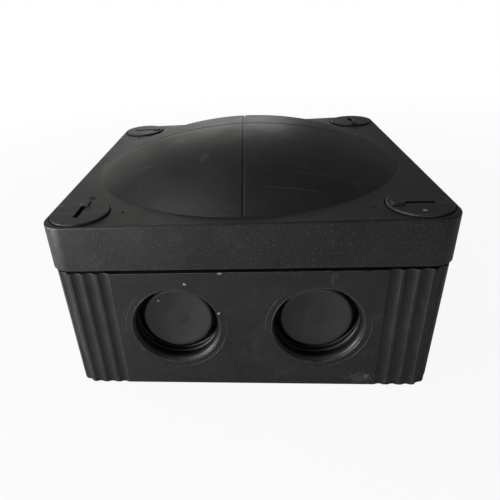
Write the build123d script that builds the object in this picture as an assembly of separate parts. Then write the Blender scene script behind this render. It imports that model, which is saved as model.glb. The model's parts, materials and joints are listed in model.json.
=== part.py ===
from build123d import *
import math
import os

# Weatherproof junction box, millimetres. Origin at the middle of the underside, +Z up,
# one of the two faces with a pair of cable entries towards -Y.

# base moulding
base_width = 84.2
base_height = 31.7
base_corner_radius = 4.9
base_wall_lean = 0.3
base_bottom_chamfer = 0.2
wall_thickness = 2.7
floor_thickness = 2.6

# lid moulding
lid_width = 85.2
lid_corner_radius = 5.0
lid_edge_round = 0.35
lid_bottom_z = 32.7
lid_top_z = 43.05
lid_plate_thickness = 2.2
lid_skirt_thickness = 1.7
dome_foot_radius = 39.7
dome_rise = 9.5
dome_thickness = 2.0
dome_hollow_radius = 36.0
dome_groove_width = 0.5
dome_groove_depth = 0.35

# flutes round each corner of the base
flute_radius = 1.8
flute_depth = 0.5
flute_offsets = (30.55, 33.65, 36.7)
flute_corner_angles = (28.0, 62.0)

# line of the seal: straight along the walls, bent inwards round each lid lock
seal_bend_radius = 7.9
seal_blend_radius = 3.0
rim_thickness = 1.2
rim_top_z = 38.4
gasket_overhang = 1.2
gasket_bottom_z = 38.65
lid_rib_gap = 0.15
lid_rib_thickness = 1.2
lid_rib_bottom_z = 38.0

# quarter-turn lid locks and the posts that they grip
lock_centre = 35.5
lock_head_radius = 6.5
lock_head_top_z = 43.5
lock_head_chamfer = 0.2
lock_recess_radius = 6.75
lock_recess_floor_z = 42.1
lock_head_underside_gap = 0.2
lock_slot_length = 6.2
lock_slot_width = 1.3
lock_slot_depth = 0.9
lock_pointer_length = 2.5
lock_pointer_width = 1.8
lock_pointer_height = 0.4
lock_stem_radius = 3.2
lock_stem_running_gap = 0.08
lock_split_width = 2.0
lock_split_top_z = 38.5
lug_reach = 4.2
lug_thickness = 2.4
lug_height = 2.0
lug_gap = 0.3
lock_boss_radius = 5.6
post_radius = 7.0
post_top_z = 36.0
post_plate_thickness = 2.2
post_pocket_radius = 4.5
post_edge_inset = 1.5

# M20 cable entries with their membranes
entry_offset = 15.8
entry_height = 17.3
entry_radius = 10.0
entry_thread_length = 5.6
entry_mouth_chamfer = 0.15
entry_chamber_radius = 11.0
entry_collar_radius = 12.8
entry_collar_depth = 8.6
membrane_gap = 0.05
membrane_disc_radius = 8.15
membrane_disc_depth = 6.1
membrane_crown = 0.4
membrane_crown_radius = 3.0
membrane_thickness = 0.7
membrane_web_thickness = 0.8

# wall-fixing holes
fixing_spacing = 54.0
fixing_hole_radius = 2.25
fixing_boss_radius = 4.6
fixing_boss_top_z = 5.0

# five-pole terminal block
pole_count = 5
pole_pitch = 7.6
block_centre_y = 21.0
block_bottom_z = 6.0
block_top_z = 16.0
block_depth = 13.0
block_floor = 1.4
block_end_wall = 1.4
pocket_width = 6.2
pocket_depth = 7.2
wire_channel_width = 3.6
wire_channel_floor = 1.8
ear_length = 6.0
ear_thickness = 3.0
ear_hole_radius = 1.6
ear_hole_x = 22.8
block_post_radius = 3.0
block_pilot_radius = 1.45
clamp_width = 6.0
clamp_depth = 7.0
clamp_top_z = 15.6
clamp_slit_width = 3.0
clamp_slit_floor = 1.6
clamp_edge_round = 0.6
clamp_bore_radius = 2.05
clamp_screw_radius = 2.0
clamp_screw_bottom_z = 12.2
clamp_screw_length = 5.0
clamp_screw_tip_radius = 1.4
clamp_screw_tip_length = 0.6
clamp_screw_slot_width = 0.7
clamp_screw_slot_depth = 0.9
fixing_screw_radius = 1.4
fixing_screw_length = 7.0
fixing_screw_head_radius = 2.8
fixing_screw_head_height = 1.9
fixing_screw_slot_width = 0.8
fixing_screw_slot_depth = 1.0

# worked out from the sizes above
cavity_half = base_width / 2 - wall_thickness
lean_ratio = base_wall_lean / base_height
entry_face_half = base_width / 2 + entry_height * lean_ratio
lid_half = lid_width / 2
lid_underside_z = lid_top_z - lid_plate_thickness
skirt_inner_half = lid_half - lid_skirt_thickness
dome_radius = (dome_foot_radius**2 + dome_rise**2) / (2 * dome_rise)
dome_centre_z = lid_top_z + dome_rise - dome_radius
pocket_top_z = post_top_z - post_plate_thickness
overlap = 0.5

# each lock's name, place and the turn that points its arrow: they follow each other round the lid
lock_places = {
    "front_left": (-lock_centre, -lock_centre, 0),
    "front_right": (lock_centre, -lock_centre, 90),
    "rear_right": (lock_centre, lock_centre, 180),
    "rear_left": (-lock_centre, lock_centre, 270),
}

# each entry's plane meets the outer face on the entry's axis, with its normal out of the mouth
entry_planes = {
    "front_left": Plane((-entry_offset, -entry_face_half, entry_height), z_dir=(0, -1, 0)),
    "front_right": Plane((entry_offset, -entry_face_half, entry_height), z_dir=(0, -1, 0)),
    "rear_left": Plane((-entry_offset, entry_face_half, entry_height), z_dir=(0, 1, 0)),
    "rear_right": Plane((entry_offset, entry_face_half, entry_height), z_dir=(0, 1, 0)),
    "left": Plane((-entry_face_half, 0, entry_height), z_dir=(-1, 0, 0)),
    "right": Plane((entry_face_half, 0, entry_height), z_dir=(1, 0, 0)),
    "floor": Plane((0, 0, 0), z_dir=(0, 0, -1)),
}


def prism(sketch, bottom, top):
    """A sketch drawn on the ground plane, raised between two heights."""
    return extrude(Pos(0, 0, bottom) * sketch, top - bottom)


def post(x, y, radius, bottom, top):
    """An upright cylinder between two heights."""
    return prism(Pos(x, y) * Circle(radius), bottom, top)


def seal_outline(grow):
    """Inside line of the walls, which turns inwards round each lock, moved outwards by grow."""
    half = cavity_half + grow
    outline = Rectangle(2 * half, 2 * half)
    for x, y, turn in lock_places.values():
        outer_corner = Pos(math.copysign(lock_centre + half, x), math.copysign(lock_centre + half, y))
        outline -= outer_corner * Rectangle(2 * half, 2 * half)
        outline -= Pos(x, y) * Circle(seal_bend_radius - grow)
    return fillet(outline.vertices(), seal_blend_radius + grow)


def flute_cutters():
    """Round-bottomed grooves that lean with the walls, beside each corner and round its arc."""
    side = base_width / 2
    arc_centre = side - base_corner_radius
    outside = flute_radius - flute_depth
    spots = [(along, side + outside, 90) for along in flute_offsets]
    spots += [(side + outside, along, 0) for along in flute_offsets]
    for angle in flute_corner_angles:
        reach = base_corner_radius + outside
        x = arc_centre + reach * math.cos(math.radians(angle))
        y = arc_centre + reach * math.sin(math.radians(angle))
        spots.append((x, y, angle))
    cutters = []
    for sign_x in (-1, 1):
        for sign_y in (-1, 1):
            for x, y, angle in spots:
                lean_x = sign_x * lean_ratio * math.cos(math.radians(angle))
                lean_y = sign_y * lean_ratio * math.sin(math.radians(angle))
                foot = Plane((sign_x * x, sign_y * y, 0), z_dir=(lean_x, lean_y, 1))
                middle = Pos(0, 0, base_height / 2)
                cutters.append(foot.location * middle * Cylinder(flute_radius, base_height + 2 * overlap))
    return cutters


def keyhole(x, y, turn):
    """Opening in a post's top plate that lets the lock's two lugs through in its open position."""
    slot = Rectangle(lug_thickness + 2 * lug_gap, 2 * (lug_reach + lug_gap))
    opening = Circle(lock_stem_radius + lug_gap) + slot
    return prism(Pos(x, y) * Rot(0, 0, turn) * opening, pocket_top_z - overlap, post_top_z + overlap)


def entry_solid(plane, radius, outer_depth, inner_depth):
    """A cylinder on an entry's axis between two depths under the outer face."""
    length = inner_depth - outer_depth
    middle = -(outer_depth + inner_depth) / 2
    return plane.location * Pos(0, 0, middle) * Cylinder(radius, length)


def base_box():
    foot = RectangleRounded(base_width, base_width, base_corner_radius)
    outer = extrude(foot, base_height, taper=-math.degrees(math.atan(lean_ratio)))
    body = chamfer(outer.faces().sort_by(Axis.Z)[0].edges(), base_bottom_chamfer)
    body -= flute_cutters()

    body += prism(seal_outline(rim_thickness), base_height - overlap, rim_top_z)
    post_half = base_width / 2 - post_edge_inset
    post_limit = RectangleRounded(2 * post_half, 2 * post_half, base_corner_radius - post_edge_inset)
    for x, y, turn in lock_places.values():
        post_section = post_limit & (Pos(x, y) * Circle(post_radius))
        body += prism(post_section, base_height - overlap, post_top_z)

    cavity = prism(seal_outline(0), floor_thickness, rim_top_z + overlap)
    body -= cavity

    inside = []
    for plane in entry_planes.values():
        inside.append(entry_solid(plane, entry_collar_radius, overlap, entry_collar_depth))
    for side in (-1, 1):
        x = side * fixing_spacing / 2
        inside.append(post(x, 0, fixing_boss_radius, overlap, fixing_boss_top_z))
        inside.append(post(side * ear_hole_x, block_centre_y, block_post_radius, overlap, block_bottom_z))
    body += inside

    cuts = []
    for plane in entry_planes.values():
        cuts.append(entry_solid(plane, entry_radius, -overlap, entry_thread_length + overlap))
        cuts.append(entry_solid(plane, entry_chamber_radius, entry_thread_length, entry_collar_depth + overlap))
        mouth = Cone(entry_radius, entry_radius + 2 * entry_mouth_chamfer, 2 * entry_mouth_chamfer)
        cuts.append(plane.location * mouth)
    for x, y, turn in lock_places.values():
        cuts.append(post(x, y, post_pocket_radius, -overlap, pocket_top_z))
        cuts.append(keyhole(x, y, turn))
    for side in (-1, 1):
        x = side * fixing_spacing / 2
        cuts.append(post(x, 0, fixing_hole_radius, -overlap, fixing_boss_top_z + overlap))
        pilot_bottom = floor_thickness - overlap
        cuts.append(post(side * ear_hole_x, block_centre_y, block_pilot_radius, pilot_bottom, block_bottom_z + overlap))
    return body - cuts


def lid():
    outer = prism(RectangleRounded(lid_width, lid_width, lid_corner_radius), lid_bottom_z, lid_top_z)
    shell = fillet(outer.faces().sort_by(Axis.Z)[-1].edges(), lid_edge_round)
    inner = RectangleRounded(2 * skirt_inner_half, 2 * skirt_inner_half, lid_corner_radius - lid_skirt_thickness)
    shell -= prism(inner, lid_bottom_z - overlap, lid_underside_z)

    foot = post(0, 0, dome_foot_radius, lid_top_z - overlap, lid_top_z + dome_rise)
    sphere = Pos(0, 0, dome_centre_z) * Sphere(dome_radius)
    shell += foot & sphere

    hollow = post(0, 0, dome_hollow_radius, lid_underside_z - overlap, lid_top_z + dome_rise)
    shell -= hollow & (Pos(0, 0, dome_centre_z) * Sphere(dome_radius - dome_thickness))

    groove_depth_limit = Pos(0, 0, dome_centre_z) * Sphere(dome_radius - dome_groove_depth)
    groove_height = dome_rise + 2 * overlap
    for turn in (0, 90):
        blade = Box(dome_groove_width, 2 * dome_foot_radius, groove_height)
        blade = Pos(0, 0, lid_top_z + groove_height / 2) * Rot(0, 0, turn) * blade
        shell -= blade - groove_depth_limit

    rib_outside = -(gasket_overhang + lid_rib_gap)
    rib = seal_outline(rib_outside) - seal_outline(rib_outside - lid_rib_thickness)
    shell += prism(rib, lid_rib_bottom_z, lid_underside_z + overlap)

    for x, y, turn in lock_places.values():
        shell += post(x, y, lock_boss_radius, post_top_z + lug_gap, lid_underside_z + overlap)
        shell -= post(x, y, lock_recess_radius, lock_recess_floor_z, lid_top_z + overlap)
        shell -= post(x, y, lock_stem_radius + lock_stem_running_gap, post_top_z, lid_top_z)
    return shell


def lid_gasket():
    section = seal_outline(rim_thickness + lid_rib_gap) - seal_outline(-gasket_overhang)
    return prism(section, gasket_bottom_z, lid_underside_z)


def lid_lock():
    """Lock with its arrow towards +Y, on the origin's axis."""
    head_bottom = lock_recess_floor_z + lock_head_underside_gap
    head = post(0, 0, lock_head_radius, head_bottom, lock_head_top_z)
    head = chamfer(head.edges().sort_by(Axis.Z)[-1], lock_head_chamfer)
    pointer_middle = (lock_slot_length + lock_pointer_length) / 2
    pointer = Pos(0, pointer_middle) * Rectangle(lock_pointer_width, lock_pointer_length)
    head += prism(pointer, head_bottom, lock_head_top_z + lock_pointer_height)
    slot = Rectangle(lock_slot_width, lock_slot_length)
    head -= prism(slot, lock_head_top_z - lock_slot_depth, lock_head_top_z + overlap)

    lug_top = pocket_top_z - lug_gap
    stem_bottom = lug_top - lug_height
    stem = post(0, 0, lock_stem_radius, stem_bottom, head_bottom + overlap)
    lug_section = Rectangle(lug_thickness, 2 * lug_reach) & Circle(lug_reach)
    lugs = prism(lug_section, stem_bottom, lug_top)
    split = Rectangle(2 * lug_reach, lock_split_width)
    return head + stem + lugs - prism(split, stem_bottom - overlap, lock_split_top_z)


def entry_membrane():
    """Round diaphragm on the +Z axis, which looks out of the entry; depths count from the outer face."""
    edge = entry_chamber_radius - membrane_gap
    disc_face = -membrane_disc_depth
    back = -entry_collar_depth
    web_front = back + membrane_web_thickness
    neck = membrane_disc_radius - membrane_thickness
    crown_top = disc_face + membrane_crown
    section = Polyline(
        (0, crown_top),
        (membrane_crown_radius, crown_top),
        (membrane_disc_radius, disc_face),
        (membrane_disc_radius, web_front),
        (edge, web_front),
        (edge, back),
        (neck, back),
        (neck, disc_face - membrane_thickness),
        (0, disc_face - membrane_thickness),
        close=True,
    )
    return revolve(Plane.XZ * make_face(section), Axis.Z)


def pole_positions():
    first = -(pole_count - 1) / 2 * pole_pitch
    return [first + number * pole_pitch for number in range(pole_count)]


def terminal_carrier():
    body_length = (pole_count - 1) * pole_pitch + pocket_width + 2 * block_end_wall
    centre = Pos(0, block_centre_y)
    body = prism(centre * Rectangle(body_length, block_depth), block_bottom_z, block_top_z)
    ears = RectangleRounded(body_length + 2 * ear_length, 2 * block_post_radius + 1, block_post_radius)
    body += prism(centre * ears, block_bottom_z, block_bottom_z + ear_thickness)
    for x in pole_positions():
        spot = Pos(x, block_centre_y)
        pocket_floor = block_bottom_z + block_floor
        body -= prism(spot * Rectangle(pocket_width, pocket_depth), pocket_floor, block_top_z + overlap)
        channel = Rectangle(wire_channel_width, block_depth + 2 * overlap)
        body -= prism(spot * channel, pocket_floor + wire_channel_floor, block_top_z + overlap)
    for side in (-1, 1):
        body -= post(side * ear_hole_x, block_centre_y, ear_hole_radius, 0, block_top_z)
    return body


def terminal_clamp(x):
    """Upright brass sleeve, slit from the top so that the wires lie under its screw."""
    spot = Pos(x, block_centre_y)
    bottom = block_bottom_z + block_floor
    sleeve = prism(spot * RectangleRounded(clamp_width, clamp_depth, clamp_edge_round), bottom, clamp_top_z)
    slit_bottom = bottom + clamp_slit_floor
    sleeve -= prism(spot * Rectangle(clamp_slit_width, clamp_depth + overlap), slit_bottom, clamp_top_z + overlap)
    return sleeve - post(x, block_centre_y, clamp_bore_radius, slit_bottom, clamp_top_z + overlap)


def clamp_screw(x):
    bottom = clamp_screw_bottom_z
    top = bottom + clamp_screw_length
    screw = post(x, block_centre_y, clamp_screw_tip_radius, bottom, bottom + clamp_screw_tip_length + overlap)
    screw += post(x, block_centre_y, clamp_screw_radius, bottom + clamp_screw_tip_length, top)
    slot = Pos(x, block_centre_y) * Rectangle(2 * clamp_bore_radius, clamp_screw_slot_width)
    return screw - prism(slot, top - clamp_screw_slot_depth, top + overlap)


def carrier_fixing_screws():
    screws = []
    for side in (-1, 1):
        x = side * ear_hole_x
        seat = block_bottom_z + ear_thickness
        tip = seat - fixing_screw_length + overlap
        shank = post(x, block_centre_y, fixing_screw_radius, tip, seat + overlap)
        head = post(x, block_centre_y, fixing_screw_head_radius, seat, seat + fixing_screw_head_height)
        head_top = seat + fixing_screw_head_height
        slot = Pos(x, block_centre_y) * Rectangle(2 * fixing_screw_head_radius, fixing_screw_slot_width)
        slot_cut = prism(slot, head_top - fixing_screw_slot_depth, head_top + overlap)
        screws.append(shank + head - slot_cut)
    return Compound(children=screws)


nodes = {
    "base_box": base_box(),
    "lid": lid(),
    "lid_gasket": lid_gasket(),
    "terminal_carrier": terminal_carrier(),
    "carrier_fixing_screws": carrier_fixing_screws(),
}
for place, (x, y, turn) in lock_places.items():
    nodes["lid_lock_" + place] = Pos(x, y, 0) * Rot(0, 0, turn) * lid_lock()
for place, plane in entry_planes.items():
    nodes["entry_membrane_" + place] = plane.location * entry_membrane()
for number, x in enumerate(pole_positions(), start=1):
    nodes[f"terminal_clamp_{number}"] = terminal_clamp(x)
    nodes[f"clamp_screw_{number}"] = clamp_screw(x)

os.makedirs("parts", exist_ok=True)
for name, shape in nodes.items():
    export_step(shape, f"parts/{name}.step")
    print(name, round(shape.volume, 1), "mm3")
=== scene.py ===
import json
import math

import bmesh
import bpy
from mathutils import Euler, Matrix, Vector


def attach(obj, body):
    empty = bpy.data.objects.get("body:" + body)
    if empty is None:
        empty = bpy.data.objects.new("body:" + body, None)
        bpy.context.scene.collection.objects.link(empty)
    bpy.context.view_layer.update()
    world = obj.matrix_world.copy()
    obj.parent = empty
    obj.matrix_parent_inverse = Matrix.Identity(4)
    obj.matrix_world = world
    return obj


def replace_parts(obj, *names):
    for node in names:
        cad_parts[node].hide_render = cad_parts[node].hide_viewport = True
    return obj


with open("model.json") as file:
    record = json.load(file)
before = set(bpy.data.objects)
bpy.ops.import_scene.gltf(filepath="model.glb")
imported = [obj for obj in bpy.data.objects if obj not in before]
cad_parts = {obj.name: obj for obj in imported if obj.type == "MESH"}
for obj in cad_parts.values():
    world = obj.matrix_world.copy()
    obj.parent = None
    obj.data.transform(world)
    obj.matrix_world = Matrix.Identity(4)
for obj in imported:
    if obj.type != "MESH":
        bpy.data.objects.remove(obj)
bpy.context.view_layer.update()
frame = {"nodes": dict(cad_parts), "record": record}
scene = bpy.context.scene
mm = 0.001


def feed(tree, socket, value):
    if isinstance(value, bpy.types.NodeSocket):
        tree.links.new(value, socket)
    else:
        socket.default_value = value


def place(tree, kind, inputs=None, **settings):
    made = tree.nodes.new(kind)
    for name, value in settings.items():
        setattr(made, name, value)
    for name, value in (inputs or {}).items():
        feed(tree, made.inputs[name], value)
    return made


def maths(tree, operation, first, second=0.0, third=0.0):
    return place(tree, "ShaderNodeMath", {0: first, 1: second, 2: third}, operation=operation).outputs[0]


def ramp(tree, value, low, high, start=0.0, end=1.0):
    made = place(tree, "ShaderNodeMapRange", {"Value": value, "From Min": low, "From Max": high,
                                              "To Min": start, "To Max": end})
    return made.outputs["Result"]


def mixColour(tree, share, first, second):
    made = tree.nodes.new("ShaderNodeMix")
    made.data_type = "RGBA"
    for number, value in ((0, share), (6, first), (7, second)):
        feed(tree, made.inputs[number], value)
    return made.outputs[2]


def grey(level):
    return (level, level, level, 1.0)


# a shader group; an input given as None carries a vector, any other a number
def newGroup(name, inputs, outputs):
    tree = bpy.data.node_groups.new(name, "ShaderNodeTree")
    for label, value in inputs.items():
        kind = "NodeSocketVector" if value is None else "NodeSocketFloat"
        socket = tree.interface.new_socket(label, in_out="INPUT", socket_type=kind)
        if value is not None:
            socket.default_value = value
    for label in outputs:
        tree.interface.new_socket(label, in_out="OUTPUT", socket_type="NodeSocketFloat")
    given = place(tree, "NodeGroupInput").outputs
    return tree, given, place(tree, "NodeGroupOutput").inputs


# fine pitting left by a spark-eroded mould, and the broad drift in its tone
def makeSparkGrain():
    tree, given, out = newGroup("sparkGrain", {"Vector": None, "Scale": 1500.0, "Patches": 60.0},
                                ["Height", "Tone", "Glint", "Smudge"])
    fine = place(tree, "ShaderNodeTexNoise", {"Vector": given["Vector"], "Scale": given["Scale"],
                                              "Detail": 2.0, "Roughness": 0.6}).outputs["Fac"]
    pits = place(tree, "ShaderNodeTexVoronoi", {"Vector": given["Vector"], "Scale": given["Scale"]},
                 feature="SMOOTH_F1").outputs["Distance"]
    broad = place(tree, "ShaderNodeTexNoise", {"Vector": given["Vector"], "Scale": given["Patches"],
                                               "Detail": 4.0}).outputs["Fac"]
    feed(tree, out["Height"], maths(tree, "MULTIPLY_ADD", pits, 0.6, maths(tree, "MULTIPLY", fine, 0.8)))
    feed(tree, out["Tone"], ramp(tree, broad, 0.3, 0.7))
    # Glint: bright specks on the fine pitting, a painted glint
    feed(tree, out["Glint"], ramp(tree, fine, 0.56, 0.7))
    wiped = place(tree, "ShaderNodeTexNoise", {"Vector": given["Vector"], "Detail": 6.0, "Distortion": 0.4,
                                               "Scale": maths(tree, "MULTIPLY", given["Patches"], 1.7)})
    feed(tree, out["Smudge"], ramp(tree, wiped.outputs["Fac"], 0.57, 0.72))
    return tree


def makeDustSpecks():
    tree, given, out = newGroup("dustSpecks", {"Vector": None, "Scale": 700.0, "Share": 0.2, "Size": 0.3},
                                ["Mask"])
    cells = place(tree, "ShaderNodeTexVoronoi", {"Vector": given["Vector"], "Scale": given["Scale"]},
                  feature="F1")
    tint = place(tree, "ShaderNodeSeparateColor", {"Color": cells.outputs["Color"]}).outputs
    kept = maths(tree, "LESS_THAN", tint["Red"], given["Share"])
    reach = maths(tree, "MULTIPLY", given["Size"], maths(tree, "MULTIPLY_ADD", tint["Green"], 0.8, 0.2))
    inside = ramp(tree, maths(tree, "DIVIDE", cells.outputs["Distance"], reach), 1.0, 0.6)
    feed(tree, out["Mask"], maths(tree, "MULTIPLY", kept, inside))
    return tree


def makeHairScratches():
    tree, given, out = newGroup("hairScratches", {"Vector": None, "Scale": 40.0, "Share": 0.1}, ["Mask"])
    low = maths(tree, "SUBTRACT", 0.78, maths(tree, "MULTIPLY", given["Share"], 0.5))
    high = maths(tree, "ADD", low, 0.03)
    found = 0.0
    for turn, offset in ((0.5, 0.0), (-0.9, 3.1), (1.9, 7.7)):
        turned = place(tree, "ShaderNodeMapping", {"Vector": given["Vector"], "Rotation": (0.3, 0.2, turn),
                                                   "Location": (offset, offset, offset),
                                                   "Scale": (1.0, 34.0, 1.0)})
        streak = place(tree, "ShaderNodeTexNoise", {"Vector": turned.outputs[0], "Scale": given["Scale"],
                                                    "Detail": 1.0, "Distortion": 0.15})
        found = maths(tree, "MAXIMUM", found, ramp(tree, streak.outputs["Fac"], low, high))
    feed(tree, out["Mask"], found)
    return tree


# where a rounded normal leaves the true one, the edge is lightened: partly rubbed by handling, partly a
# painted highlight
def makeEdgeRubAndHighlight():
    tree, given, out = newGroup("edgeRubAndHighlight", {"Vector": None, "Radius": 0.0004, "Breakup": 500.0}, ["Mask"])
    rounded = place(tree, "ShaderNodeBevel", {"Radius": given["Radius"]}, samples=6).outputs[0]
    flat = place(tree, "ShaderNodeNewGeometry").outputs["Normal"]
    dot = place(tree, "ShaderNodeVectorMath", {0: rounded, 1: flat}, operation="DOT_PRODUCT")
    edge = ramp(tree, dot.outputs["Value"], 0.995, 0.86)
    patch = place(tree, "ShaderNodeTexNoise", {"Vector": given["Vector"], "Scale": given["Breakup"],
                                               "Detail": 3.0}).outputs["Fac"]
    feed(tree, out["Mask"], maths(tree, "MULTIPLY", edge, ramp(tree, patch, 0.3, 0.65)))
    return tree


# one smudge, chip or fleck: a ragged blob of given reach round a point
def makeLoneMark():
    tree, given, out = newGroup("loneMark", {"Vector": None, "Centre": None, "Stretch": None,
                                             "Reach": 0.001, "Breakup": 900.0}, ["Mask"])
    away = place(tree, "ShaderNodeVectorMath", {0: given["Vector"], 1: given["Centre"]},
                 operation="SUBTRACT").outputs[0]
    away = place(tree, "ShaderNodeVectorMath", {0: away, 1: given["Stretch"]},
                 operation="MULTIPLY").outputs[0]
    far = place(tree, "ShaderNodeVectorMath", {0: away}, operation="LENGTH").outputs["Value"]
    ragged = place(tree, "ShaderNodeTexNoise", {"Vector": given["Vector"], "Scale": given["Breakup"],
                                                "Detail": 2.0}).outputs["Fac"]
    span = maths(tree, "MULTIPLY", given["Reach"], ramp(tree, ragged, 0.25, 0.75, 0.2, 1.5))
    feed(tree, out["Mask"], ramp(tree, maths(tree, "DIVIDE", far, span), 1.0, 0.55))
    return tree


groups = {"grain": makeSparkGrain(), "dust": makeDustSpecks(), "scratch": makeHairScratches(),
          "edge": makeEdgeRubAndHighlight(), "mark": makeLoneMark()}
print("stage: shared effects ready")


def grouped(tree, name, inputs):
    made = place(tree, "ShaderNodeGroup", node_tree=groups[name])
    for label, value in inputs.items():
        feed(tree, made.inputs[label], value)
    return made.outputs


blackMoulding = {
    "shade": 0.011, "toneSwing": 0.18, "roughness": 0.42, "roughSwing": 0.05, "specular": 0.42,
    "grainScale": 2600.0, "grainDepth": 0.00003, "grainStrength": 0.5, "patchScale": 130.0,
    "glintAmount": 0.35, "glintShade": 0.05, "smudgeAmount": 0.5, "smudgeShade": 0.03,
    "dustScale": 1500.0, "dustShare": 0.16, "dustSize": 0.22, "dustAmount": 0.5, "dustShade": 0.12,
    "fluffShare": 0.05, "fluffSize": 0.13, "scratchScale": 30.0, "scratchShare": 0.1,
    "scratchAmount": 0.28, "scratchShade": 0.07,
    "edgeRadius": 0.00022, "edgeRubAndHighlightAmount": 0.8, "edgeRubAndHighlightShade": 0.1,
    "coarseTop": 1.0, "coarseFrom": 0.0, "paintedShadeBelow": 0.0, "marks": [],
    "coarseBlend": 0.3, "paintedShadeBlend": 0.15, "paintedShadeLevel": 0.001, "fluffScale": 0.31,
    "paintedShadeRough": 0.5, "dustRough": 0.25, "scratchRough": -0.12,
}
# stretch below 1 makes a mark longer that way; above 1, shorter
baseMarks = [
    {"at": (-12.95, -42.4, 28.9), "reach": 0.42, "stretch": (1.0, 1.0, 1.0), "shade": 0.4, "amount": 0.8},
    {"at": (-5.95, -42.4, 21.1), "reach": 0.34, "stretch": (1.0, 1.0, 1.0), "shade": 0.5, "amount": 0.9},
    {"at": (-5.4, -42.4, 31.5), "reach": 0.36, "stretch": (0.6, 1.0, 1.0), "shade": 0.3, "amount": 0.7},
    {"at": (18.2, -42.4, 29.6), "reach": 2.0, "stretch": (7.0, 1.0, 1.0), "shade": 0.05, "amount": 0.6},
    {"at": (18.9, -42.4, 30.4), "reach": 1.0, "stretch": (5.0, 1.0, 1.0), "shade": 0.05, "amount": 0.5},
    {"at": (25.8, -42.2, 2.2), "reach": 2.2, "stretch": (0.55, 1.0, 1.0), "shade": 0.05, "amount": 0.6},
    {"at": (27.4, -42.2, 3.0), "reach": 0.8, "stretch": (1.0, 1.0, 1.0), "shade": 0.1, "amount": 0.7},
]
lidMarks = [
    {"at": (-41.2, -33.5, 42.9), "reach": 0.4, "stretch": (1.0, 1.0, 1.0), "shade": 0.2, "amount": 0.7},
    {"at": (-9.0, -20.0, 49.7), "reach": 1.3, "stretch": (1.0, 0.5, 0.3), "shade": 0.05, "amount": 0.6},
    {"at": (14.0, -24.0, 48.0), "reach": 0.9, "stretch": (1.0, 0.6, 0.3), "shade": 0.03, "amount": 0.6},
]
lockMarks = [
    {"at": (35.3, -39.5, 43.5), "reach": 0.42, "stretch": (0.7, 1.0, 1.0), "shade": 0.4, "amount": 0.9},
]
membraneMarks = [
    {"at": (-20.1, -38.8, 22.2), "reach": 0.4, "stretch": (1.0, 1.0, 1.0), "shade": 0.4, "amount": 0.9},
]


def mouldedPlastic(name, changes):
    look = {**blackMoulding, **changes}
    material = bpy.data.materials.new(name)
    material.use_nodes = True
    tree = material.node_tree
    shader = tree.nodes["Principled BSDF"]
    spot = place(tree, "ShaderNodeTexCoord").outputs["Object"]
    grain = grouped(tree, "grain", {"Vector": spot, "Scale": look["grainScale"],
                                    "Patches": look["patchScale"]})
    dust = grouped(tree, "dust", {"Vector": spot, "Scale": look["dustScale"], "Share": look["dustShare"],
                                  "Size": look["dustSize"]})["Mask"]
    fluff = grouped(tree, "dust", {"Vector": spot, "Scale": look["dustScale"] * look["fluffScale"],
                                   "Share": look["fluffShare"], "Size": look["fluffSize"]})["Mask"]
    scratch = grouped(tree, "scratch", {"Vector": spot, "Scale": look["scratchScale"],
                                        "Share": look["scratchShare"]})["Mask"]
    # lighter edges: rub wear plus a painted highlight along them
    rubAndHighlight = grouped(tree, "edge", {"Vector": spot, "Radius": look["edgeRadius"]})["Mask"]
    specks = maths(tree, "MAXIMUM", dust, fluff)
    colour = mixColour(tree, grain["Tone"], grey(look["shade"] * (1 - look["toneSwing"])),
                       grey(look["shade"] * (1 + look["toneSwing"])))
    height = place(tree, "ShaderNodeSeparateXYZ", {0: spot}).outputs["Z"]
    coarse = ramp(tree, height, look["coarseFrom"], look["coarseFrom"] - look["coarseBlend"] * mm,
                  look["coarseTop"], 1.0)
    # painted shade: below the given height (the lock's slot floor and the sides in the gap round its head)
    # the colour goes near black, and the surface is made rougher there
    paintedSlotShade = ramp(tree, height, look["paintedShadeBelow"], look["paintedShadeBelow"] - look["paintedShadeBlend"] * mm)
    layers = [(maths(tree, "MULTIPLY", grain["Glint"], coarse), look["glintAmount"], look["glintShade"]),
              (grain["Smudge"], look["smudgeAmount"], look["smudgeShade"]),
              (rubAndHighlight, look["edgeRubAndHighlightAmount"], look["edgeRubAndHighlightShade"]),
              (scratch, look["scratchAmount"], look["scratchShade"]),
              (specks, look["dustAmount"], look["dustShade"])]
    for mark in look["marks"]:
        centre = tuple(value * mm for value in mark["at"])
        found = grouped(tree, "mark", {"Vector": spot, "Centre": centre, "Stretch": mark["stretch"],
                                       "Reach": mark["reach"] * mm})["Mask"]
        layers.append((found, mark["amount"], mark["shade"]))
    for mask, amount, shade in layers:
        colour = mixColour(tree, maths(tree, "MULTIPLY", mask, amount), colour, grey(shade))
    colour = mixColour(tree, paintedSlotShade, colour, grey(look["paintedShadeLevel"]))
    feed(tree, shader.inputs["Base Color"], colour)
    rough = ramp(tree, grain["Tone"], 0.0, 1.0, look["roughness"] - look["roughSwing"],
                 look["roughness"] + look["roughSwing"])
    rough = maths(tree, "MULTIPLY_ADD", paintedSlotShade, look["paintedShadeRough"], rough)
    rough = maths(tree, "MULTIPLY_ADD", specks, look["dustRough"], rough)
    rough = maths(tree, "MULTIPLY_ADD", scratch, look["scratchRough"], rough)
    feed(tree, shader.inputs["Roughness"], rough)
    shader.inputs["Specular IOR Level"].default_value = look["specular"]
    rounded = place(tree, "ShaderNodeBevel", {"Radius": look["edgeRadius"]}, samples=6).outputs[0]
    bump = place(tree, "ShaderNodeBump", {"Height": maths(tree, "MULTIPLY", grain["Height"], coarse),
                                          "Distance": look["grainDepth"],
                                          "Strength": look["grainStrength"], "Normal": rounded})
    feed(tree, shader.inputs["Normal"], bump.outputs[0])
    return material


plainMetal = {"patchScale": 220.0, "scratchScale": 120.0, "scratchShare": 0.3, "scratchRough": 0.15,
              "roughSwing": 0.08, "grainDepth": 0.00002, "grainStrength": 0.3}


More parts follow.
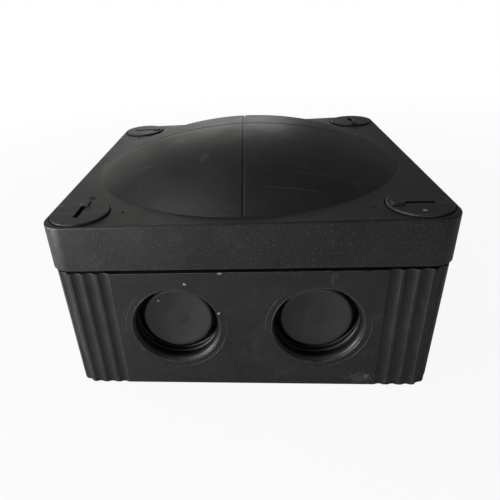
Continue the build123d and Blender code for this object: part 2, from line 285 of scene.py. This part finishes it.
def metal(name, changes):
    look = {**plainMetal, **changes}
    material = bpy.data.materials.new(name)
    material.use_nodes = True
    tree = material.node_tree
    shader = tree.nodes["Principled BSDF"]
    spot = place(tree, "ShaderNodeTexCoord").outputs["Object"]
    grain = grouped(tree, "grain", {"Vector": spot, "Scale": look["grainScale"],
                                    "Patches": look["patchScale"]})
    scratch = grouped(tree, "scratch", {"Vector": spot, "Scale": look["scratchScale"],
                                        "Share": look["scratchShare"]})["Mask"]
    feed(tree, shader.inputs["Base Color"], mixColour(tree, grain["Tone"], look["dark"], look["bright"]))
    rough = ramp(tree, grain["Tone"], 0.0, 1.0, look["roughness"] - look["roughSwing"],
                 look["roughness"] + look["roughSwing"])
    feed(tree, shader.inputs["Roughness"], maths(tree, "MULTIPLY_ADD", scratch, look["scratchRough"], rough))
    shader.inputs["Metallic"].default_value = 1.0
    bump = place(tree, "ShaderNodeBump", {"Height": grain["Height"], "Distance": look["grainDepth"],
                                          "Strength": look["grainStrength"]})
    feed(tree, shader.inputs["Normal"], bump.outputs[0])
    return material


finishes = {
    "baseMoulding": mouldedPlastic("baseMoulding", {
        "edgeRubAndHighlightShade": 0.18, "edgeRubAndHighlightAmount": 0.9, "marks": baseMarks}),
    "lidMoulding": mouldedPlastic("lidMoulding", {
        "grainStrength": 0.8, "coarseTop": 0.25, "coarseFrom": 42.9 * mm, "glintAmount": 0.7,
        "grainScale": 1900.0, "edgeRubAndHighlightShade": 0.12, "marks": lidMarks}),
    "lockMoulding": mouldedPlastic("lockMoulding", {
        "grainStrength": 0.2, "dustShare": 0.06, "edgeRubAndHighlightShade": 0.25, "paintedShadeBelow": 43.3 * mm,
        "marks": lockMarks}),
    "softMembrane": mouldedPlastic("softMembrane", {
        "shade": 0.024, "roughness": 0.5, "grainStrength": 0.15, "dustShare": 0.05,
        "marks": membraneMarks}),
    "sealFoam": mouldedPlastic("sealFoam", {"shade": 0.05, "roughness": 0.7}),
    "greyInsulator": mouldedPlastic("greyInsulator", {
        "shade": 0.3, "roughness": 0.5, "glintShade": 0.36, "smudgeShade": 0.34, "edgeRubAndHighlightShade": 0.42,
        "scratchShade": 0.38, "dustShade": 0.45}),
    "brass": metal("brass", {
        "grainScale": 2200.0, "dark": (0.52, 0.36, 0.14, 1), "bright": (0.72, 0.53, 0.24, 1),
        "roughness": 0.34}),
    "zincSteel": metal("zincSteel", {
        "grainScale": 2600.0, "dark": (0.48, 0.49, 0.5, 1), "bright": (0.68, 0.69, 0.7, 1),
        "roughness": 0.3}),
}
print("stage: finishes ready")

bodyOf = {}
for bodyName, nodeNames in frame["record"]["behaviour"]["bodies"].items():
    for nodeName in nodeNames:
        bodyOf[nodeName] = bodyName


def addPiece(name, mesh, finish, body):
    mesh.name = name
    mesh.materials.clear()
    mesh.materials.append(finishes[finish])
    piece = bpy.data.objects.new(name, mesh)
    scene.collection.objects.link(piece)
    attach(piece, body)
    return piece


def smoothBelow(edited, limit):
    for face in edited.faces:
        face.smooth = True
    for edge in edited.edges:
        edge.smooth = len(edge.link_faces) == 2 and edge.calc_face_angle(0.0) < limit


# a merged, softly shaded copy that stands for the frame's own piece
def dressNode(node, finish, slotName, sharpAngle=20.0):
    mesh = frame["nodes"][node].data.copy()
    merged = bmesh.new()
    merged.from_mesh(mesh)
    bmesh.ops.remove_doubles(merged, verts=merged.verts, dist=0.002 * mm)
    bmesh.ops.dissolve_degenerate(merged, edges=merged.edges, dist=0.0005 * mm)
    smoothBelow(merged, math.radians(sharpAngle))
    merged.to_mesh(mesh)
    merged.free()
    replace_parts(addPiece("shown_" + node, mesh, finish, bodyOf[node]), node)


pieceFinish = {"base_box": ("baseMoulding", "black_housing"), "lid": ("lidMoulding", "black_housing"),
               "lid_gasket": ("sealFoam", "seal"), "terminal_carrier": ("greyInsulator", "grey_insulator"),
               "carrier_fixing_screws": ("zincSteel", "zinc_steel")}
for node in sorted(frame["nodes"]):
    if node.startswith("lid_lock"):
        pieceFinish[node] = ("lockMoulding", "black_housing")
    elif node.startswith("terminal_clamp"):
        pieceFinish[node] = ("brass", "brass")
    elif node.startswith("clamp_screw"):
        pieceFinish[node] = ("zincSteel", "zinc_steel")
    if node in pieceFinish:
        dressNode(node, *pieceFinish[node])
print("stage: frame pieces dressed")

# outer face of each cable entry: its middle in mm and the way it looks out
entryPlan = {"face": 42.264, "offset": 15.8, "height": 17.3}
face, offset, height = entryPlan["face"], entryPlan["offset"], entryPlan["height"]
entrySpots = {
    "front_left": ((-offset, -face, height), (0, -1, 0)),
    "front_right": ((offset, -face, height), (0, -1, 0)),
    "rear_left": ((-offset, face, height), (0, 1, 0)),
    "rear_right": ((offset, face, height), (0, 1, 0)),
    "left": ((-face, 0, height), (-1, 0, 0)),
    "right": ((face, 0, height), (1, 0, 0)),
    "floor": ((0, 0, 0), (0, 0, -1)),
}


def outwardTurn(direction):
    outward = Vector(direction)
    upward = Vector((0, 1, 0)) if abs(outward.z) > 0.5 else Vector((0, 0, 1))
    sideways = upward.cross(outward)
    return Matrix((sideways, upward, outward)).transposed().to_euler()


membraneLook = {
    "discRadius": 8.15, "discDepth": 3.2, "edgeRound": 0.6, "dish": 0.95, "spotRadius": 2.0,
    "spotHeight": 0.06, "spotBlend": 0.2, "wall": 0.7, "innerStep": 0.2, "webFront": 7.8, "webBack": 8.6,
    "webRadius": 10.95, "steps": 96, "dishSteps": 8, "roundSteps": 4, "sharpAngle": 35.0,
}


# a soft cup: its round disc stands in the threaded mouth, its flange behind the wall
def makeMembrane(node, centre, direction):
    look = membraneLook
    radius, depth, soft = look["discRadius"], look["discDepth"], look["edgeRound"]
    flatReach = radius - soft

    def dished(reach):
        return -depth - look["dish"] * (1 - (reach / flatReach) ** 2)

    profile = [(0.0, dished(0) + look["spotHeight"]),
               (look["spotRadius"], dished(look["spotRadius"]) + look["spotHeight"])]
    for step in range(look["dishSteps"]):
        reach = (look["spotRadius"] + look["spotBlend"]
                 + (flatReach - look["spotRadius"] - look["spotBlend"]) * step / look["dishSteps"])
        profile.append((reach, dished(reach)))
    for step in range(look["roundSteps"] + 1):
        turn = math.radians(90 - 90 * step / look["roundSteps"])
        profile.append((flatReach + soft * math.cos(turn), -depth - soft + soft * math.sin(turn)))
    inner = radius - look["wall"]
    profile += [(radius, -look["webFront"]), (look["webRadius"], -look["webFront"]),
                (look["webRadius"], -look["webBack"]), (inner, -look["webBack"]),
                (inner, -depth - look["wall"] - look["innerStep"]), (0.0, dished(0) - look["wall"])]
    where = Matrix.Translation(Vector(centre) * mm) @ outwardTurn(direction).to_matrix().to_4x4()
    steps, rings = look["steps"], profile[1:-1]
    corners = [Vector((0, 0, profile[0][1]))]
    for r, z in rings:
        for step in range(steps):
            angle = 2 * math.pi * step / steps
            corners.append(Vector((r * math.cos(angle), r * math.sin(angle), z)))
    corners.append(Vector((0, 0, profile[-1][1])))
    last, tail = len(corners) - 1, 1 + (len(rings) - 1) * steps
    faces = []
    for step in range(steps):
        after = (step + 1) % steps
        faces.append((0, 1 + step, 1 + after))
        faces.append((tail + step, last, tail + after))
        for ring in range(len(rings) - 1):
            here, beyond = 1 + ring * steps, 1 + (ring + 1) * steps
            faces.append((here + step, beyond + step, beyond + after, here + after))
    turned = bpy.data.meshes.new("turnedCup")
    turned.from_pydata([where @ (corner * mm) for corner in corners], [], faces)
    edited = bmesh.new()
    edited.from_mesh(turned)
    bpy.data.meshes.remove(turned)
    smoothBelow(edited, math.radians(look["sharpAngle"]))
    mesh = bpy.data.meshes.new("shown_" + node)
    edited.to_mesh(mesh)
    edited.free()
    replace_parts(addPiece("shown_" + node, mesh, "softMembrane", bodyOf[node]), node)


for spotName, (centre, direction) in entrySpots.items():
    makeMembrane("entry_membrane_" + spotName, centre, direction)
print("stage: membranes made")


# a Geometry Nodes tree that repeats one form at the points it is given; each point's own
# turn attribute faces it; the last link makes real geometry with its finish
def newFormTree(name, sizes):
    tree = bpy.data.node_groups.new(name, "GeometryNodeTree")
    tree.interface.new_socket("Points", in_out="INPUT", socket_type="NodeSocketGeometry")
    for label, value in sizes.items():
        tree.interface.new_socket(label, in_out="INPUT", socket_type="NodeSocketFloat").default_value = value
    tree.interface.new_socket("Finish", in_out="INPUT", socket_type="NodeSocketMaterial")
    tree.interface.new_socket("Form", in_out="OUTPUT", socket_type="NodeSocketGeometry")
    return tree, place(tree, "NodeGroupInput").outputs


def repeatForm(tree, given, form):
    facing = place(tree, "GeometryNodeInputNamedAttribute", {"Name": "facing"}, data_type="FLOAT_VECTOR")
    turn = place(tree, "FunctionNodeEulerToRotation", {0: facing.outputs[0]}).outputs[0]
    points = place(tree, "GeometryNodeMeshToPoints", {"Mesh": given["Points"]}).outputs[0]
    placed = place(tree, "GeometryNodeInstanceOnPoints", {"Points": points, "Instance": form,
                                                          "Rotation": turn})
    real = place(tree, "GeometryNodeRealizeInstances", {0: placed.outputs[0]}).outputs[0]
    shaded = place(tree, "GeometryNodeSetShadeSmooth", {0: real}).outputs[0]
    coated = place(tree, "GeometryNodeSetMaterial", {"Geometry": shaded, "Material": given["Finish"]})
    feed(tree, place(tree, "NodeGroupOutput").inputs["Form"], coated.outputs[0])
    return tree


# round bead swept along a curve, thinner where thinning is below 1
def sweepBead(tree, path, beadRadius, sides, thinning=1.0):
    bead = place(tree, "GeometryNodeCurvePrimitiveCircle", {"Resolution": sides, "Radius": beadRadius})
    return place(tree, "GeometryNodeCurveToMesh", {"Curve": path, "Profile Curve": bead.outputs[0],
                                                   "Scale": thinning, "Fill Caps": True}).outputs[0]


def makeThreadTree():
    tree, given = newFormTree("entryThread", {"Bore Radius": 0.01, "First Depth": 0.0023, "Length": 0.003,
                                              "Turns": 2.0, "Ridge": 0.00075})
    path = place(tree, "GeometryNodeCurveSpiral", {"Resolution": 72, "Rotations": given["Turns"],
                                                   "Start Radius": given["Bore Radius"],
                                                   "End Radius": given["Bore Radius"],
                                                   "Height": given["Length"]}).outputs[0]
    along = place(tree, "GeometryNodeSplineParameter").outputs["Factor"]
    growIn = place(tree, "ShaderNodeMapRange", {"Value": along, "From Min": 0.0, "From Max": 0.07,
                                                "To Min": 0.05, "To Max": 1.0}).outputs["Result"]
    fadeOut = place(tree, "ShaderNodeMapRange", {"Value": along, "From Min": 0.93, "From Max": 1.0,
                                                 "To Min": 1.0, "To Max": 0.05}).outputs["Result"]
    taper = place(tree, "ShaderNodeMath", {0: growIn, 1: fadeOut}, operation="MINIMUM").outputs[0]
    ridge = sweepBead(tree, path, given["Ridge"], 8, taper)
    deepest = place(tree, "ShaderNodeMath", {0: given["First Depth"], 1: given["Length"]}, operation="ADD")
    down = place(tree, "ShaderNodeMath", {0: 0.0, 1: deepest.outputs[0]}, operation="SUBTRACT").outputs[0]
    shift = place(tree, "ShaderNodeCombineXYZ", {"Z": down}).outputs[0]
    sunk = place(tree, "GeometryNodeTransform", {"Geometry": ridge, "Translation": shift}).outputs[0]
    return repeatForm(tree, given, sunk)


def makeRingTree():
    tree, given = newFormTree("witnessRing", {"Ring Radius": 0.0117, "Bead": 0.00008, "Thinnest": 1.0})
    path = place(tree, "GeometryNodeCurvePrimitiveCircle", {"Resolution": 128,
                                                            "Radius": given["Ring Radius"]})
    along = place(tree, "GeometryNodeSplineParameter").outputs["Factor"]
    # thickest up to the left and down to the right, as a worn mould insert leaves it
    angle = place(tree, "ShaderNodeMath", {0: along, 1: 2 * math.pi, 2: math.radians(-135)},
                  operation="MULTIPLY_ADD").outputs[0]
    lean = place(tree, "ShaderNodeMath", {0: angle}, operation="COSINE").outputs[0]
    lean = place(tree, "ShaderNodeMath", {0: lean}, operation="ABSOLUTE").outputs[0]
    thinning = place(tree, "ShaderNodeMapRange", {"Value": lean, "From Min": 0.35, "From Max": 0.9,
                                                  "To Min": given["Thinnest"], "To Max": 1.0})
    return repeatForm(tree, given, sweepBead(tree, path.outputs[0], given["Bead"], 6,
                                             thinning.outputs["Result"]))


# tapered band inside a mouth, the smooth lead-in before the thread; the profile's
# first axis runs outwards from the entry's middle and its second one into the wall
def makeLeadInTree():
    tree, given = newFormTree("leadIn", {"Bore Radius": 0.01, "Mouth Step": 0.0001, "Throat Step": 0.0007,
                                         "Start Depth": 0.0003, "End Depth": 0.0019, "Backing": 0.0004})
    path = place(tree, "GeometryNodeCurvePrimitiveCircle", {"Resolution": 128,
                                                            "Radius": given["Bore Radius"]})
    inward = [place(tree, "ShaderNodeMath", {0: 0.0, 1: given[label]}, operation="SUBTRACT").outputs[0]
              for label in ("Mouth Step", "Throat Step")]
    corners = [(inward[0], given["Start Depth"]), (inward[1], given["End Depth"]),
               (given["Backing"], given["End Depth"]), (given["Backing"], given["Start Depth"])]
    bar = tree.nodes.new("GeometryNodeCurvePrimitiveQuadrilateral")
    bar.mode = "POINTS"
    for number, (across, deep) in enumerate(corners):
        corner = place(tree, "ShaderNodeCombineXYZ", {"X": across, "Y": deep}).outputs[0]
        feed(tree, bar.inputs["Point %d" % (number + 1)], corner)
    band = place(tree, "GeometryNodeCurveToMesh", {"Curve": path.outputs[0],
                                                   "Profile Curve": bar.outputs[0]})
    return repeatForm(tree, given, band.outputs[0])


formTrees = {"thread": makeThreadTree(), "ring": makeRingTree(), "leadIn": makeLeadInTree()}


# runs a tree on one point per spot and gives back a plain closed mesh
def growForm(name, treeName, sizes, spots, finish):
    tree = formTrees[treeName]
    points = bpy.data.meshes.new(name)
    points.from_pydata([Vector(centre) * mm for centre, _ in spots], [], [])
    facing = points.attributes.new("facing", "FLOAT_VECTOR", "POINT")
    for number, (_, direction) in enumerate(spots):
        facing.data[number].vector = outwardTurn(direction)
    holder = bpy.data.objects.new(name, points)
    scene.collection.objects.link(holder)
    modifier = holder.modifiers.new("form", "NODES")
    modifier.node_group = tree
    for item in tree.interface.items_tree:
        if item.item_type == "SOCKET" and item.in_out == "INPUT":
            if item.name in sizes:
                modifier[item.identifier] = sizes[item.name]
            elif item.name == "Finish":
                modifier[item.identifier] = finishes[finish]
    bpy.context.view_layer.update()
    mesh = bpy.data.meshes.new_from_object(holder.evaluated_get(bpy.context.evaluated_depsgraph_get()))
    holder.modifiers.remove(modifier)
    bpy.data.objects.remove(holder)
    closed = bmesh.new()
    closed.from_mesh(mesh)
    bmesh.ops.remove_doubles(closed, verts=closed.verts, dist=0.0005 * mm)
    bmesh.ops.recalc_face_normals(closed, faces=closed.faces)
    closed.to_mesh(mesh)
    closed.free()
    return mesh


threadLook = {"Bore Radius": 10.0, "First Depth": 2.55, "Length": 2.9, "Turns": 1.93, "Ridge": 0.6}
leadInLook = {"Bore Radius": 10.0, "Mouth Step": 0.06, "Throat Step": 0.78, "Start Depth": 0.35,
              "End Depth": 1.95, "Backing": 0.5}
ringLook = {"Ring Radius": 11.5, "Bead": 0.09, "Thinnest": 0.15}
mouthLook = {"Ring Radius": 10.17, "Bead": 0.12, "Thinnest": 0.3}
openMarkLook = {"Ring Radius": 0.62, "Bead": 0.12}
shutMarkLook = {"Ring Radius": 0.3, "Bead": 0.12}
lidTop = 43.05
# plain rings beside each lock: the wide one where its arrow rests open, the small one where it shuts
openSpots = [((-35.5, -26.5, lidTop), (0, 0, 1)), ((26.2, -35.4, lidTop), (0, 0, 1)),
             ((35.5, 26.3, lidTop), (0, 0, 1)), ((-26.2, 35.4, lidTop), (0, 0, 1))]
shutSpots = [((-25.9, -35.2, lidTop), (0, 0, 1)), ((35.7, -26.0, lidTop), (0, 0, 1)),
             ((26.0, 35.4, lidTop), (0, 0, 1)), ((-35.6, 26.1, lidTop), (0, 0, 1))]
allEntries = list(entrySpots.values())
wallEntries = [spot for spot in allEntries if spot[1][2] == 0]
plainNumbers = ("Turns", "Thinnest")  # every other size is in mm
forms = [
    ("entry_threads", "thread", threadLook, allEntries, "baseMoulding", "base_box"),
    ("entry_lead_in_bands", "leadIn", leadInLook, allEntries, "baseMoulding", "base_box"),
    ("entry_mouth_lips", "ring", mouthLook, wallEntries, "baseMoulding", "base_box"),
    ("entry_witness_rings", "ring", ringLook, wallEntries, "baseMoulding", "base_box"),
    ("lock_open_marks", "ring", openMarkLook, openSpots, "lidMoulding", "lid"),
    ("lock_shut_marks", "ring", shutMarkLook, shutSpots, "lidMoulding", "lid"),
]
for formName, treeName, formLook, spots, finish, carrier in forms:
    sizes = {label: value if label in plainNumbers else value * mm for label, value in formLook.items()}
    grown = growForm(formName, treeName, sizes, spots, finish)
    addPiece(formName, grown, finish, bodyOf[carrier])
print("stage: threads, bands, rings and marks grown")

room = {"floorSize": 3.0, "floorShade": 0.8, "nearShare": 0.92, "nearRadius": 0.12, "farRadius": 0.34,
        "worldLevel": 0.14}


# the floor keeps the box's shadow near it and turns plain white further out
def makeFloor():
    half = room["floorSize"] / 2
    mesh = bpy.data.meshes.new("floor")
    mesh.from_pydata([(-half, -half, 0), (half, -half, 0), (half, half, 0), (-half, half, 0)], [],
                     [(0, 1, 2, 3)])
    floor = bpy.data.objects.new("floor", mesh)
    scene.collection.objects.link(floor)
    material = bpy.data.materials.new("paleFloor")
    material.use_nodes = True
    tree = material.node_tree
    tree.nodes.clear()
    lit = place(tree, "ShaderNodeBsdfDiffuse", {"Color": grey(room["floorShade"])})
    plain = place(tree, "ShaderNodeEmission", {"Color": grey(1.0), "Strength": 1.0})
    spot = place(tree, "ShaderNodeTexCoord").outputs["Object"]
    far = place(tree, "ShaderNodeVectorMath", {0: spot}, operation="LENGTH").outputs["Value"]
    own = ramp(tree, far, room["nearRadius"], room["farRadius"], room["nearShare"], 1.0)
    seen = place(tree, "ShaderNodeLightPath").outputs["Is Camera Ray"]
    both = place(tree, "ShaderNodeMixShader", {0: maths(tree, "MULTIPLY", seen, own), 1: lit.outputs[0],
                                               2: plain.outputs[0]})
    place(tree, "ShaderNodeOutputMaterial", {"Surface": both.outputs[0]})
    mesh.materials.append(material)


def makeWorld():
    world = bpy.data.worlds.new("softRoom")
    scene.world = world
    world.use_nodes = True
    tree = world.node_tree
    tree.nodes.clear()
    around = place(tree, "ShaderNodeBackground", {"Color": grey(1.0), "Strength": room["worldLevel"]})
    behind = place(tree, "ShaderNodeBackground", {"Color": grey(1.0), "Strength": 1.0})
    seen = place(tree, "ShaderNodeLightPath").outputs["Is Camera Ray"]
    both = place(tree, "ShaderNodeMixShader", {0: seen, 1: around.outputs[0], 2: behind.outputs[0]})
    place(tree, "ShaderNodeOutputWorld", {"Surface": both.outputs[0]})


# places and sizes in metres, power in watts
lamps = {
    "overLeftPanel": {"at": (-0.22, 0.0, 0.42), "to": (0, 0, 0.03), "tint": (1.0, 0.985, 0.94),
                      "size": (0.3, 0.3), "power": 0.5},
    "lowLeftPanel": {"at": (-0.35, -0.16, 0.05), "to": (0, 0, 0.03), "tint": (1.0, 1.0, 1.0),
                     "size": (0.25, 0.08), "power": 1.5},
    "frontLeftPanel": {"at": (-0.2, -0.3, 0.08), "to": (0, 0, 0.03), "tint": (1.0, 1.0, 1.0),
                       "size": (0.12, 0.1), "power": 0.42},
    "rearPanel": {"at": (-0.05, 0.8, 0.25), "to": (0, 0, 0.03), "tint": (1.0, 0.985, 0.94),
                  "size": (0.35, 0.25), "power": 0.46},
    "rearLeftPanel": {"at": (-0.35, 0.6, 0.2), "to": (0, 0, 0.03), "tint": (1.0, 0.985, 0.94),
                      "size": (0.35, 0.25), "power": 0.13},
}


def makeLamp(name, look):
    lamp = bpy.data.lights.new(name, "AREA")
    lamp.shape = "RECTANGLE"
    lamp.size, lamp.size_y = look["size"]
    lamp.energy = look["power"]
    lamp.color = look["tint"]
    made = bpy.data.objects.new(name, lamp)
    made.location = look["at"]
    made.rotation_euler = (Vector(look["to"]) - Vector(look["at"])).to_track_quat("-Z", "Y").to_euler()
    scene.collection.objects.link(made)


viewpoint = {"at": (0.00203, -0.12335, 0.08163), "turn": (61.82, 3.90, 4.78), "lens": 32.70,
             "shift": (0.0891, -0.0074), "sensor": 36.0, "nearest": 0.005}


def makeCamera():
    data = bpy.data.cameras.new("camera")
    data.lens = viewpoint["lens"]
    data.sensor_width = viewpoint["sensor"]
    data.shift_x, data.shift_y = viewpoint["shift"]
    data.clip_start = viewpoint["nearest"]
    camera = bpy.data.objects.new("camera", data)
    camera.location = viewpoint["at"]
    camera.rotation_euler = Euler([math.radians(angle) for angle in viewpoint["turn"]], "XYZ")
    scene.collection.objects.link(camera)
    scene.camera = camera


makeFloor()
makeWorld()
for lampName, lampLook in lamps.items():
    makeLamp(lampName, lampLook)
makeCamera()
scene.view_settings.view_transform = "Standard"
print("stage: floor, light and camera placed")
